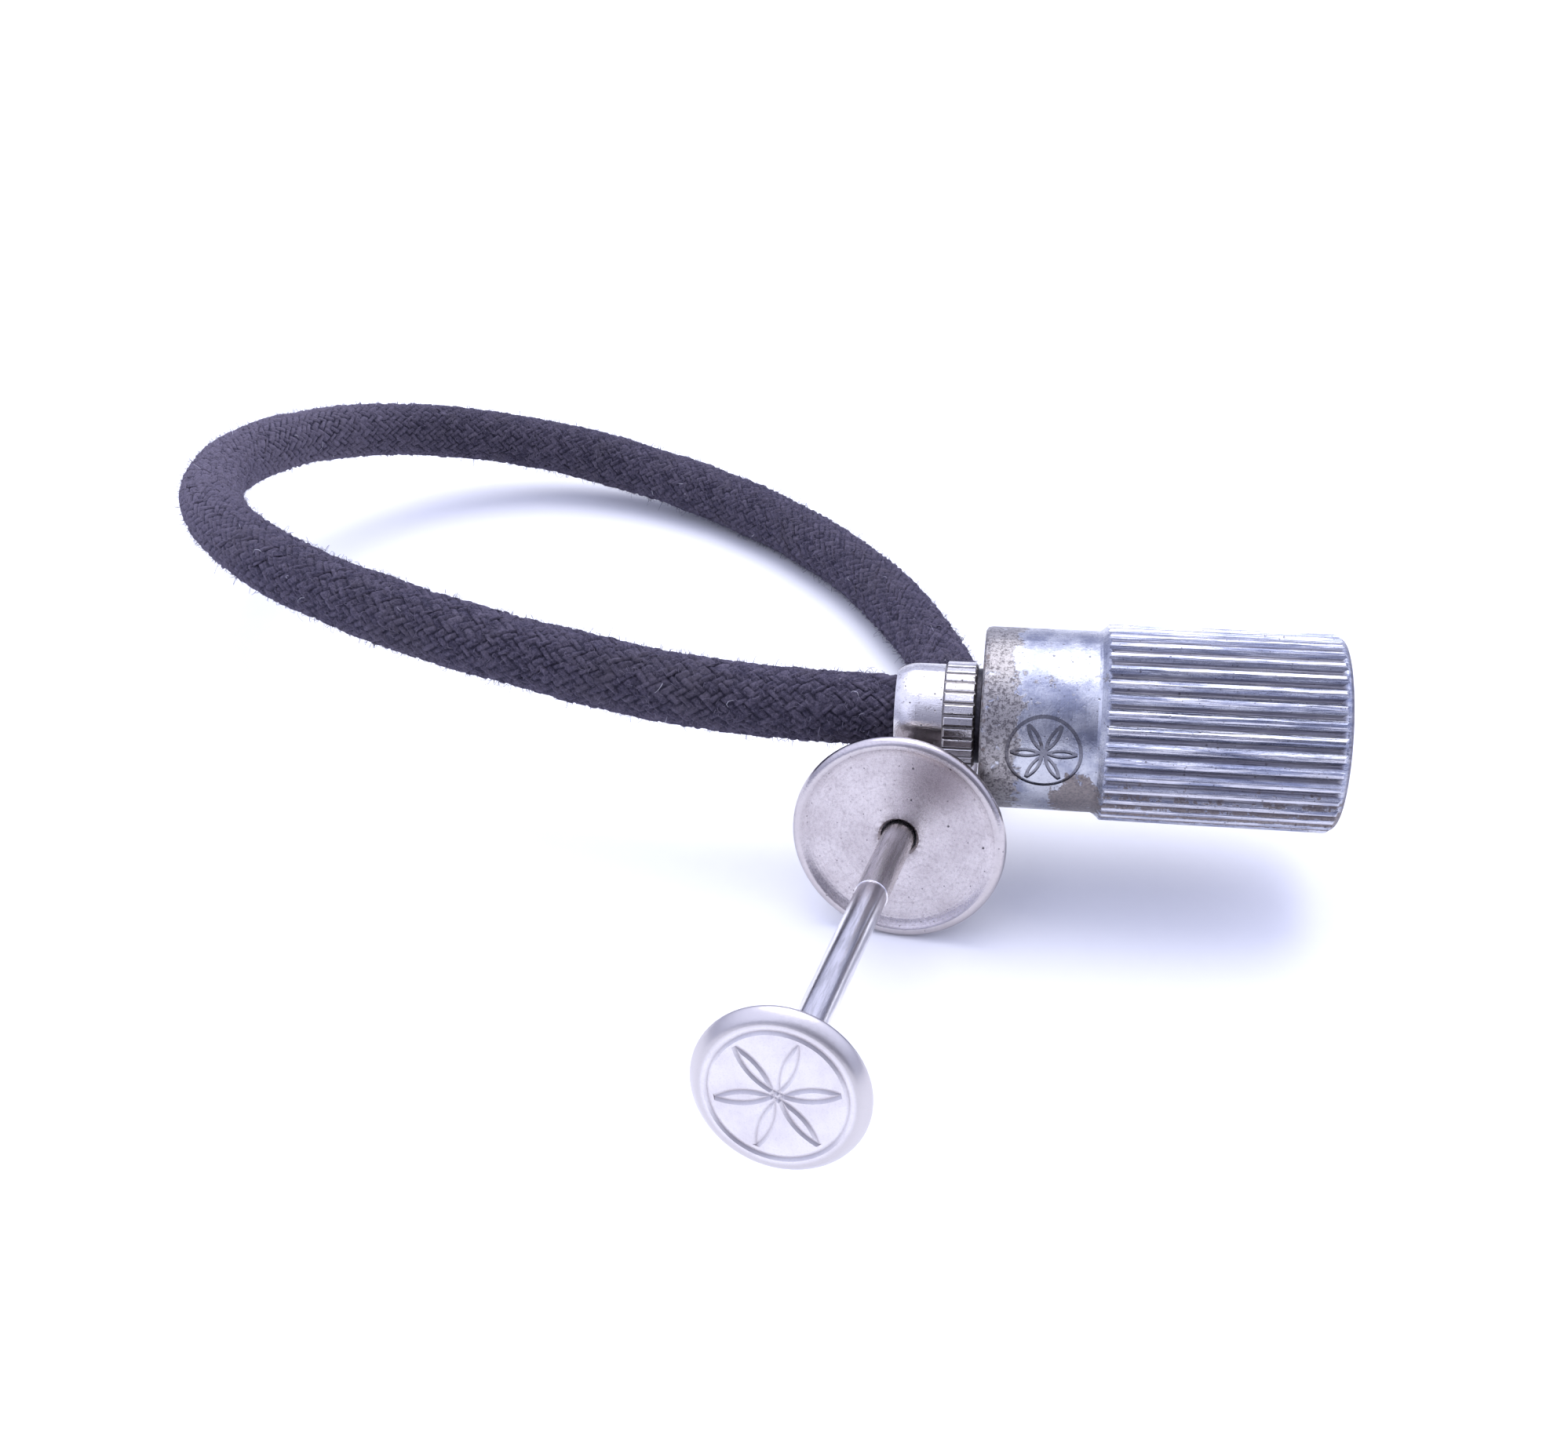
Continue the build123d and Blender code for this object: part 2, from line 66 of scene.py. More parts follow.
camera_data = bpy.data.cameras.new("camera")
camera_data.lens, camera_data.sensor_width = LENS, SENSOR
camera_data.sensor_fit = "HORIZONTAL"
camera_data.clip_start, camera_data.clip_end = 0.005, 5.0
camera = bpy.data.objects.new("camera", camera_data)
scene.collection.objects.link(camera)
right = CAMERA_LOOK.cross(CAMERA_UP).normalized()
turn = Matrix((right, right.cross(CAMERA_LOOK), -CAMERA_LOOK)).transposed()
camera.matrix_world = Matrix.Translation(CAMERA_AT) @ turn.to_4x4()
scene.camera = camera

# ------------------------------------------------------------------ handle and bell
HEADING, SLOPE = math.radians(6.8), math.radians(11.4)
FORWARD = Vector((-math.sin(HEADING) * math.cos(SLOPE),
                  -math.cos(HEADING) * math.cos(SLOPE), math.sin(SLOPE)))
DISC_AT = Vector((-9.56, 5.40, 6.832)) * MM      # centre of the finger disc's face
BELL_AXIS_AT = Vector((0, 12.65, 11.80)) * MM    # a point on the bell's axis, at x = 0


def handle_point(s):
    """Point on the handle's axis, s millimetres in front of the disc's face."""
    return DISC_AT + FORWARD * (s * MM)


# ------------------------------------------------------------------ cable route
COVER_R, COVER_BORE_R = 2.40 * MM, 1.52 * MM
LOOP = [
    (-7.7, 31.7, 2.45), (-10.6, 38.9, 2.4), (-15.9, 47.9, 2.4), (-24.3, 56.9, 2.4),
    (-35.3, 63.9, 2.9), (-48.1, 67.1, 4.6), (-59.8, 63.8, 7.5), (-67.5, 55.1, 10.4),
    (-69.8, 43.5, 12.7), (-66.0, 32.5, 14.1), (-57.3, 23.8, 14.6), (-45.9, 17.7, 14.3),
    (-33.5, 14.2, 13.3), (-20.5, 12.65, 11.8),
]
route_points = [handle_point(-15.60), handle_point(-21.00),
                *[Vector(p) * MM for p in LOOP],
                BELL_AXIS_AT + Vector((-8.10 * MM, 0, 0))]

route_data = bpy.data.curves.new("cable_route", "CURVE")
route_data.dimensions = "3D"
spline = route_data.splines.new("NURBS")
spline.points.add(len(route_points) - 1)
for slot_point, p in zip(spline.points, route_points):
    slot_point.co = (*p, 1.0)
spline.order_u = 3
spline.use_endpoint_u = True
spline.resolution_u = 40
route_object = bpy.data.objects.new("cable_route", route_data)
scene.collection.objects.link(route_object)
bpy.context.view_layer.update()
line_mesh = bpy.data.meshes.new_from_object(
    route_object.evaluated_get(bpy.context.evaluated_depsgraph_get()))
LINE = np.array([v.co for v in line_mesh.vertices], float)
bpy.data.meshes.remove(line_mesh)
bpy.data.objects.remove(route_object)


def frames_along(line):
    """Arc length, tangents and twist-free side vectors along a line of points."""
    step = np.linalg.norm(np.diff(line, axis=0), axis=1)
    keep = np.r_[True, step > 1e-7]
    line = line[keep]
    at = np.r_[0, np.cumsum(np.linalg.norm(np.diff(line, axis=0), axis=1))]
    tangent = np.gradient(line, at, axis=0)
    tangent /= np.linalg.norm(tangent, axis=1)[:, None]
    side = np.zeros_like(line)
    start = np.cross(tangent[0], (0, 0, 1.0))
    side[0] = start / np.linalg.norm(start)
    for k in range(1, len(line)):
        s = side[k - 1] - tangent[k] * (side[k - 1] @ tangent[k])
        side[k] = s / np.linalg.norm(s)
    return line, at, tangent, side


LINE, ARC, TANGENT, SIDE = frames_along(LINE)
CABLE_LENGTH = ARC[-1]


def on_cable(along, angle, radius):
    """Points at an arc length, an angle and a radius from the cable's centre line."""
    along = np.clip(along, 0, CABLE_LENGTH)
    centre = np.stack([np.interp(along, ARC, LINE[:, k]) for k in range(3)], -1)
    t = np.stack([np.interp(along, ARC, TANGENT[:, k]) for k in range(3)], -1)
    s = np.stack([np.interp(along, ARC, SIDE[:, k]) for k in range(3)], -1)
    t /= np.linalg.norm(t, axis=-1, keepdims=True)
    s -= t * np.sum(s * t, -1, keepdims=True)
    s /= np.linalg.norm(s, axis=-1, keepdims=True)
    u = np.cross(t, s)
    radius = np.asarray(radius)[..., None]
    return centre + radius * (np.cos(angle)[..., None] * s + np.sin(angle)[..., None] * u)


def mesh_piece(name, points, faces, smooth=True):
    """A mesh object in the scene, from points and faces in the row frame."""
    mesh = bpy.data.meshes.new(name)
    mesh.from_pydata([tuple(p) for p in points], [], [tuple(f) for f in faces])
    mesh.update()
    mesh.shade_smooth() if smooth else mesh.shade_flat()
    made = bpy.data.objects.new(name, mesh)
    scene.collection.objects.link(made)
    return made


def add_attribute(piece, name, values):
    """Stores one number per vertex for the materials to read."""
    piece.data.attributes.new(name, "FLOAT", "POINT").data.foreach_set(
        "value", np.asarray(values, np.float32))


# ------------------------------------------------------------------ braided cloth
# A two-over-two braid: right-hand strands i cross left-hand strands j.  The
# mesh lies on the braid's own lattice, with THIRDS vertices across each strand.
STRANDS = 24                              # in each direction
BRAID_ANGLE = math.radians(38)
THIRDS = 3
PITCH = 2 * math.pi * COVER_R / STRANDS   # spacing of the strands round the cable
RING_STEP = PITCH / (2 * THIRDS * math.tan(BRAID_ANGLE))
RING_POINTS = STRANDS * THIRDS
rings = int(CABLE_LENGTH / RING_STEP) + 1
rng = np.random.default_rng(7)

k = np.arange(rings)[:, None]
p = np.arange(RING_POINTS)[None, :]
q = p + k                                 # k = q - p
row_i, row_j = p // THIRDS, q // THIRDS
part_i, part_j = (p % THIRDS) + 0 * k, q % THIRDS
TABLE = 4096                              # length of the tables of random numbers
height_seed = rng.normal(0, 1, (STRANDS, TABLE))
strand_tone_right = rng.normal(0, 1, STRANDS)
strand_tone_left = rng.normal(0, 1, STRANDS)


def wander(reach):
    """A smooth random wave for each strand, repeating after TABLE steps, of unit size."""
    white = np.fft.rfft(rng.normal(0, 1, (STRANDS, TABLE)))
    step = np.arange(white.shape[1])
    wave = np.fft.irfft(white * np.exp(-0.5 * (step * reach / TABLE * 2 * math.pi) ** 2), TABLE)
    return wave / wave.std()


def right_on_top(i, j):
    """Whether right-hand strand i lies over left-hand strand j."""
    return (i + j) % 4 < 2


def float_jitter(i, j):
    """A random number for the place where two strands cross."""
    return height_seed[i % STRANDS, (j + TABLE // 2) % TABLE]


here = right_on_top(row_i, row_j)
beside_i = right_on_top(row_i - 1, row_j)         # across a border between right-hand strands
beside_j = right_on_top(row_i, row_j - 1)
edge_i, edge_j = part_i == 0, part_j == 0
# in millimetres: heights of a strand's parts from the cable's surface, then the unevenness
GROOVE, CORNER, CREST, RIDGE, CROWN = -0.155, -0.20, 0.0, 0.01, 0.02
UNEVEN, ROUGH, SWELL, LUMP, OVAL, SUNK = 0.026, 0.012, 0.022, 0.035, 0.03, 0.02
SIDEWAYS = 0.42                                   # wander of a strand, in lattice steps
WANDER_REACH, SWELL_REACH = 3.5, 9                # smoothness of wander and swell
height = np.full(here.shape, CREST)
middle_i = np.abs(part_i - THIRDS / 2) / (THIRDS / 2)
middle_j = np.abs(part_j - THIRDS / 2) / (THIRDS / 2)
height -= CROWN * (middle_i + middle_j)
on_i = edge_i & ~edge_j
height[on_i] = np.where(~here[on_i] & ~beside_i[on_i], CREST + RIDGE, GROOVE)
on_j = edge_j & ~edge_i
height[on_j] = np.where(here[on_j] & beside_j[on_j], CREST + RIDGE, GROOVE)
height[edge_i & edge_j] = CORNER
height = height + UNEVEN * float_jitter(row_i, row_j) + rng.normal(0, ROUGH, height.shape)
# each strand wanders to either side and swells along its way, so the braid is uneven
turn_j = p - RING_POINTS * (q // RING_POINTS)
right_side, left_side, right_swell, left_swell = (
    wander(reach) for reach in (WANDER_REACH, WANDER_REACH, SWELL_REACH, SWELL_REACH))
shift_p = SIDEWAYS * right_side[row_i % STRANDS, q % TABLE]
shift_q = SIDEWAYS * left_side[row_j % STRANDS, turn_j % TABLE]
height += SWELL * np.where(here, right_swell[row_i % STRANDS, q % TABLE],
                           left_swell[row_j % STRANDS, turn_j % TABLE])
along = np.clip((k + shift_q - shift_p) * RING_STEP, 0, (rings - 1) * RING_STEP)
along[0], along[-1] = 0, (rings - 1) * RING_STEP
angle = (p + q) * math.pi / RING_POINTS
round_to = angle + (shift_p + shift_q) * math.pi / RING_POINTS
# the cable isn't perfectly even: long soft lumps, and a slightly oval section that turns
lump = LUMP * np.sin(along / MM * 0.61 + 2 * np.sin(along / MM * 0.13))
lump = lump + OVAL * np.sin(2 * angle + along / MM * 0.35)
radius = COVER_R + (height + lump - SUNK) * MM
outer = on_cable(along, round_to, radius).reshape(-1, 3)
outer[:, 2] = np.maximum(outer[:, 2], 0)

tone = np.where(here, strand_tone_right[row_i % STRANDS], strand_tone_left[row_j % STRANDS])
tone = tone + 0.6 * float_jitter(row_i + 3, row_j + 5)
depth = np.clip(1 - height / CORNER, 0, 1)         # 0 in the gaps, 1 on the strands

INNER_SIDES, INNER_RINGS = 24, 160
inner_along = np.linspace(0, (rings - 1) * RING_STEP, INNER_RINGS)
inner = on_cable(inner_along[:, None] + np.zeros((1, INNER_SIDES)),
                 np.arange(INNER_SIDES)[None, :] * 2 * math.pi / INNER_SIDES
                 + np.zeros((INNER_RINGS, 1)),
                 np.full((INNER_RINGS, INNER_SIDES), COVER_BORE_R)).reshape(-1, 3)

faces = []


def outer_index(ring, place):
    """Number of a vertex on the braid."""
    return ring * RING_POINTS + place % RING_POINTS


for ring in range(1, rings - 1):
    for place in range(RING_POINTS):
        faces.append((outer_index(ring, place), outer_index(ring - 1, place + 1),
                      outer_index(ring, place + 1), outer_index(ring + 1, place)))
last = rings - 1
for place in range(RING_POINTS):
    faces.append((outer_index(0, place), outer_index(0, place + 1), outer_index(1, place)))
    faces.append((outer_index(last, place), outer_index(last - 1, place + 1),
                  outer_index(last, place + 1)))
base = len(outer)


def inner_index(ring, place):
    """Number of a vertex in the bore."""
    return base + ring * INNER_SIDES + place % INNER_SIDES


for ring in range(INNER_RINGS - 1):
    for place in range(INNER_SIDES):
        faces.append((inner_index(ring, place + 1), inner_index(ring, place),
                      inner_index(ring + 1, place), inner_index(ring + 1, place + 1)))


def close_end(outer_ring, inner_ring, first_angle, flip):
    """Joins the braid's end to the bore's end, three braid points to one bore point."""
    offset = int(round(first_angle / (2 * math.pi) * INNER_SIDES))
    share = RING_POINTS // INNER_SIDES
    for place in range(INNER_SIDES):
        fan = [outer_index(outer_ring, place * share + n) for n in range(share + 1)]
        low, high = (inner_index(inner_ring, place + offset),
                     inner_index(inner_ring, place + 1 + offset))
        loop = [*fan, high, low]
        faces.append(tuple(reversed(loop)) if flip else tuple(loop))


close_end(0, 0, angle[0, 0], True)
close_end(last, INNER_RINGS - 1, angle[last, 0], False)
braid = mesh_piece("woven_cover", np.vstack([outer, inner]), faces)
add_attribute(braid, "strand_tone", np.r_[tone.ravel(), np.zeros(len(inner))])
add_attribute(braid, "strand_depth", np.r_[depth.ravel(), np.zeros(len(inner))])

# ------------------------------------------------------------------ loose fibres on the cloth
FIBRES, FIBRE_SIDES, FIBRE_STEPS = 8500, 3, 4
FREE_FROM, FREE_TO = 3.2 * MM, CABLE_LENGTH - 3.0 * MM    # clear of both ferrules
FIBRE_REACH, FIBRE_RISE = 0.11, 0.095                     # scales of the gamma draws
FIBRE_THIN, FIBRE_THICK, FIBRE_ROOT = 0.012, 0.026, 0.10  # radii and depth, in millimetres
fibre_points, fibre_faces, fibre_tone = [], [], []
for _ in range(FIBRES):
    at0 = rng.uniform(FREE_FROM, FREE_TO)
    angle0 = rng.uniform(0, 2 * math.pi)
    lean = rng.uniform(0, 2 * math.pi)
    reach = rng.gamma(3.0, FIBRE_REACH) * MM
    rise = (FIBRE_ROOT + rng.gamma(2.0, FIBRE_RISE)) * MM
    curl = rng.normal(0, 1.0)
    thick = rng.uniform(FIBRE_THIN, FIBRE_THICK) * MM
    t = np.linspace(0, 1, FIBRE_STEPS)
    bearing = lean + curl * t
    a = at0 + reach * t * np.cos(bearing)
    w = angle0 + reach * t * np.sin(bearing) / COVER_R
    r = COVER_R - FIBRE_ROOT * MM + rise * np.sin(t * rng.uniform(1.4, 2.9))
    spine = on_cable(a, w, r)
    first = len(fibre_points)
    for n in range(FIBRE_STEPS):
        ahead = spine[min(n + 1, FIBRE_STEPS - 1)] - spine[max(n - 1, 0)]
        ahead /= np.linalg.norm(ahead) + 1e-12
        across = np.cross(ahead, (0.31, 0.53, 0.79))
        across /= np.linalg.norm(across) + 1e-12
        over = np.cross(ahead, across)
        width = thick * (1 - 0.65 * t[n])
        for s in range(FIBRE_SIDES):
            turn_s = 2 * math.pi * s / FIBRE_SIDES
            fibre_points.append(spine[n] + width * (math.cos(turn_s) * across
                                                    + math.sin(turn_s) * over))
    for n in range(FIBRE_STEPS - 1):
        for s in range(FIBRE_SIDES):
            s2 = (s + 1) % FIBRE_SIDES
            low, high = first + n * FIBRE_SIDES, first + (n + 1) * FIBRE_SIDES
            fibre_faces.append((low + s, low + s2, high + s2, high + s))
    end = first + (FIBRE_STEPS - 1) * FIBRE_SIDES
    fibre_faces.append((first + 2, first + 1, first))
    fibre_faces.append((end, end + 1, end + 2))
    fibre_tone += [rng.normal(0, 1)] * (FIBRE_STEPS * FIBRE_SIDES)
fibre_points = np.array(fibre_points)
fibre_points[:, 2] = np.maximum(fibre_points[:, 2], 0)
fibres = mesh_piece("cover_fibres", fibre_points, fibre_faces)
add_attribute(fibres, "strand_tone", fibre_tone)

# ------------------------------------------------------------------ material helpers


class Shader:
    """The node tree of a material or the world, with short calls for the nodes it uses."""

    def __init__(self, name="", owner=None):
        self.owner = owner or bpy.data.materials.new(name)
        self.owner.use_nodes = True
        self.tree = self.owner.node_tree

    def node(self, kind, **settings):
        """A new node with its settings."""
        made = self.tree.nodes.new(kind)
        for key, value in settings.items():
            setattr(made, key, value)
        return made

    def feed(self, socket, value):
        """Links a socket to an output, or sets its plain value."""
        if isinstance(value, bpy.types.NodeSocket):
            self.tree.links.new(value, socket)
        else:
            socket.default_value = value

    def position(self, origin=(0, 0, 0)):
        """Position on the piece in millimetres from origin, moving with the piece."""
        coords = self.node("ShaderNodeTexCoord").outputs["Object"]
        shifted = self.vector("SUBTRACT", coords, tuple(origin))
        return self.vector("SCALE", shifted, scale=1000.0)

    def vector(self, operation, a, b=None, scale=None):
        """Vector maths; the result is a number for a dot product or a length."""
        made = self.node("ShaderNodeVectorMath", operation=operation)
        self.feed(made.inputs[0], a)
        if b is not None:
            self.feed(made.inputs[1], b)
        if scale is not None:
            self.feed(made.inputs["Scale"], scale)
        return made.outputs["Value" if operation in ("DOT_PRODUCT", "LENGTH") else "Vector"]

    def math(self, operation, a, b=None, clamp=False):
        """Maths on one or two numbers."""
        made = self.node("ShaderNodeMath", operation=operation, use_clamp=clamp)
        self.feed(made.inputs[0], a)
        if b is not None:
            self.feed(made.inputs[1], b)
        return made.outputs[0]

    def noise(self, where, scale, detail=3.0, roughness=0.55, distortion=0.0):
        """Noise round 0.5, with scale cells to a millimetre."""
        made = self.node("ShaderNodeTexNoise")
        self.feed(made.inputs["Vector"], where)
        self.feed(made.inputs["Scale"], scale)
        made.inputs["Detail"].default_value = detail
        made.inputs["Roughness"].default_value = roughness
        made.inputs["Distortion"].default_value = distortion
        return made.outputs["Fac"]

    def spots(self, where, scale, size, chance=1.0):
        """1 inside small round pits, 0 outside; chance keeps only some of them."""
        made = self.node("ShaderNodeTexVoronoi", feature="F1")
        self.feed(made.inputs["Vector"], where)
        made.inputs["Scale"].default_value = scale
        inside = self.ramp(made.outputs["Distance"], size, size * 0.55)
        picked = self.node("ShaderNodeSeparateColor")
        self.feed(picked.inputs[0], made.outputs["Color"])
        kept = self.math("LESS_THAN", picked.outputs[0], chance)
        return self.math("MULTIPLY", inside, kept)

    def ramp(self, value, low, high):
        """0 at low, 1 at high, smooth between; low may be the larger."""
        made = self.node("ShaderNodeMapRange", interpolation_type="SMOOTHSTEP")
        self.feed(made.inputs["Value"], value)
        if low <= high:
            made.inputs["From Min"].default_value = low
            made.inputs["From Max"].default_value = high
            return made.outputs["Result"]
        made.inputs["From Min"].default_value = high
        made.inputs["From Max"].default_value = low
        return self.math("SUBTRACT", 1.0, made.outputs["Result"])

    def mix(self, share, a, b):
        """A mix of two colours: a where share is 0, b where it is 1."""
        made = self.node("ShaderNodeMix", data_type="RGBA")
        self.feed(made.inputs["Factor"], share)
        self.feed(made.inputs[6], a if isinstance(a, bpy.types.NodeSocket) else (*a, 1.0))
        self.feed(made.inputs[7], b if isinstance(b, bpy.types.NodeSocket) else (*b, 1.0))
        return made.outputs[2]

    def blend(self, share, a, b):
        """A mix of two numbers, as mix() is of colours."""
        made = self.node("ShaderNodeMix", data_type="FLOAT")
        self.feed(made.inputs[0], share)
        self.feed(made.inputs[2], a)
        self.feed(made.inputs[3], b)
        return made.outputs[0]

    def stain(self, colour, mask, share, over):
        """The colour with another over it, where the mask is, by a share."""
        return self.mix(self.math("MULTIPLY", mask, share), colour, over)

    def sway(self, value, noise, size, clamp=False):
        """The value moved up and down by a noise."""
        moved = self.math("MULTIPLY", self.math("SUBTRACT", noise, 0.5), size)
        return self.math("ADD", value, moved, clamp=clamp)

    def axes(self, vector):
        """The x, y and z of a vector."""
        split = self.node("ShaderNodeSeparateXYZ")
        self.feed(split.inputs[0], vector)
        return split.outputs

    def combine(self, x, y, z):
        """A vector from its x, y and z."""
        made = self.node("ShaderNodeCombineXYZ")
        for socket, value in zip(made.inputs, (x, y, z)):
            self.feed(socket, value)
        return made.outputs[0]

    def attribute(self, name):
        """A number stored on the mesh's vertices."""
        return self.node("ShaderNodeAttribute", attribute_name=name).outputs["Fac"]

    def bump(self, height, distance, strength=1.0, normal=None):
        """Bump from a height of 0 to 1, distance metres high."""
        made = self.node("ShaderNodeBump")
        made.inputs["Strength"].default_value = strength
        made.inputs["Distance"].default_value = distance
        self.feed(made.inputs["Height"], height)
        if normal is not None:
            self.feed(made.inputs["Normal"], normal)
        return made.outputs["Normal"]

    def surface(self, **sockets):
        """Sets the material's surface, and returns the material."""
        for key, value in sockets.items():
            if isinstance(value, tuple):
                value = (*value, 1.0)
            self.feed(self.tree.nodes["Principled BSDF"].inputs[key.replace("_", " ")], value)
        return self.owner


def assign(material, *names):
    """Gives CAD nodes or pieces one material."""
    for name in names:
        piece = nodes.get(name) or bpy.data.objects[name]
        piece.data.materials.clear()
        piece.data.materials.append(material)


# ------------------------------------------------------------------ cloth
LIT_BEND_X = (-54.0, -69.0)                             # where the painted light on the loop's outer bend starts and is full


def cloth_material(name, fibre=False):
    """Faded black cotton: purplish and brownish yarns, painted shade in the gaps, a pale bloom of
    fuzz, painted light on the loop's outer bend.
    """
    sh = Shader(name)
    where = sh.position()
    tone = sh.attribute("strand_tone")
    broad = sh.noise(where, 0.22, 3)
    middle = sh.noise(where, 1.1, 3)
    fine = sh.noise(where, 5.5, 4, 0.75)
    value = sh.math("ADD", sh.math("MULTIPLY", tone, 0.08), 0.36)
    value = sh.sway(value, fine, 2.0)
    value = sh.sway(value, middle, 0.7, clamp=True)
    colour = sh.mix(value, (0.023, 0.020, 0.034), (0.170, 0.148, 0.192))
    brown = sh.math("ADD", sh.ramp(broad, 0.45, 0.70), sh.math("MULTIPLY", tone, 0.12), clamp=True)
    colour = sh.stain(colour, brown, 0.45, (0.078, 0.068, 0.075))
    # painted light and sheen: the loop's outer bend is painted lighter
    painted_light_bend = sh.ramp(sh.axes(where)[0], *LIT_BEND_X)
    colour = sh.stain(colour, painted_light_bend, 0.55, (0.205, 0.18, 0.225))
    if fibre:
        colour = sh.mix(0.5, colour, (0.25, 0.23, 0.27))
        colour = sh.mix(sh.ramp(tone, 2.20, 2.30), colour, (0.72, 0.71, 0.76))
    else:
        depth = sh.attribute("strand_depth")
        # painted shade in the gaps between the strands, darkest where the depth is 0
        gap = sh.sway(depth, fine, 0.9)
        colour = sh.mix(sh.ramp(gap, 0.0, 0.65), (0.020, 0.018, 0.028), colour)
        dust = sh.math("MULTIPLY", sh.spots(where, 3.2, 0.10, 0.05), sh.ramp(depth, 0.2, 0.7))
        colour = sh.stain(colour, dust, 0.7, (0.42, 0.41, 0.48))
        # yarn: fine lines and hairs
        hairs = sh.noise(where, 16.0, 3, 0.7, 1.2)
        normal = sh.bump(hairs, 0.00014, 0.6)
        sh.surface(Normal=sh.bump(fine, 0.00026, 0.6, normal))
    return sh.surface(Base_Color=colour, Roughness=0.95, Sheen_Weight=0.30,
                      Sheen_Roughness=0.45, Sheen_Tint=(0.62, 0.58, 0.85),
                      Specular_IOR_Level=0.10)


assign(cloth_material("woven_cloth"), "woven_cover")
assign(cloth_material("loose_fibres", fibre=True), "cover_fibres")

# ------------------------------------------------------------------ metals


def handle_axes(sh):
    """Position, distance along the handle, offset from its axis and that offset's length."""
    where = sh.position(DISC_AT)
    along = sh.vector("DOT_PRODUCT", where, tuple(FORWARD))
    flat = sh.vector("SUBTRACT", where, sh.vector("SCALE", tuple(FORWARD), scale=along))
    return where, along, flat, sh.vector("LENGTH", flat)


def round_tangent(sh, flat, axis):
    """Tangent that runs round an axis, as tool marks from a lathe do."""
    return sh.vector("NORMALIZE", sh.vector("CROSS_PRODUCT", tuple(axis), flat))


def tint(colour, share):
    """The colour, darker or lighter by a share."""
    return tuple(share * channel for channel in colour)


def nickel(name, base, dark, roughness, pits, dirt, groove_r=None):
    """Old nickel plate: stains, small pits, hairline scratches, and dirt with painted shade in
    grooves down to groove_r from the bell's axis.
    """
    sh = Shader(name)
    where = sh.position()
    stain = sh.noise(where, 0.55, 4, 0.6)
    mottle = sh.noise(where, 3.5, 4, 0.7)
    speck = sh.noise(where, 11.0, 2, 0.5)
    pit = sh.spots(where, 2.6, 0.20, pits)
    scratch = sh.noise(sh.vector("MULTIPLY", where, (1.5, 14.0, 3.0)), 1.6, 3, 0.6)
    colour = sh.mix(sh.ramp(stain, 0.40, 0.75), base, tint(base, 0.82))
    colour = sh.mix(sh.math("MULTIPLY", sh.ramp(mottle, 0.54, 0.70), dirt), colour, dark)
    colour = sh.stain(colour, pit, 0.8, tint(dark, 0.3))
    # dirt and painted shade in the grip ring's grooves, down to groove_r
    if groove_r:
        flat = sh.vector("MULTIPLY", sh.position(BELL_AXIS_AT), (0.0, 1.0, 1.0))
        groove = sh.ramp(sh.vector("LENGTH", flat), groove_r + 0.10, groove_r + 0.02)
        colour = sh.stain(colour, groove, 0.75, tint(dark, 0.45))
    rough = sh.blend(sh.ramp(mottle, 0.35, 0.7), roughness * 0.75, roughness * 1.4)
    rough = sh.blend(pit, rough, 0.7)
    normal = sh.bump(sh.math("SUBTRACT", speck, sh.math("MULTIPLY", pit, 1.5)), 0.00002, 0.4)
    normal = sh.bump(scratch, 0.00003, 0.4, normal)
    return sh.surface(Base_Color=colour, Metallic=1.0, Roughness=rough, Normal=normal)


